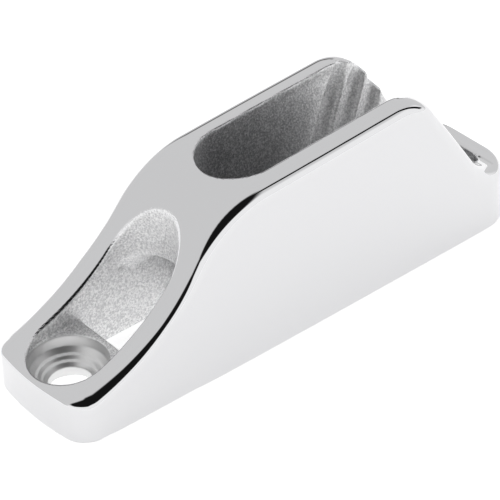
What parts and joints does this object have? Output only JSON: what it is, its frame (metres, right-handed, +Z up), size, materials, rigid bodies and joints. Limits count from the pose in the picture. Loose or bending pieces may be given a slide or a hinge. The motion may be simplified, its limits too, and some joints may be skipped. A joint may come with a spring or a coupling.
{
  "type": "clam cleat",
  "caption": "Polished stainless steel clam cleat with a closed fairlead, slanted jaw ribs and countersunk screw seats at nose and rear.",
  "frame": {"origin": "middle of the base rectangle, on the deck plane", "axes": "+Z up from the deck, +X along the length from the nose to the rear, +Y across"},
  "size_m": [0.08, 0.0216, 0.0269],
  "materials": {
    "polished_steel": "mirror-polished stainless steel: flanks, ends, rim and bridge",
    "cast_steel": "as-cast, shot-blasted grain: pocket, fairlead, channel and jaws",
    "turned_steel": "machined with fine turning rings: screw seats and holes",
    "ground_steel": "belt-ground flat: underside"
  },
  "bodies": {
    "root": {"cleat_body": "polished_steel"}
  },
  "joints": []
}
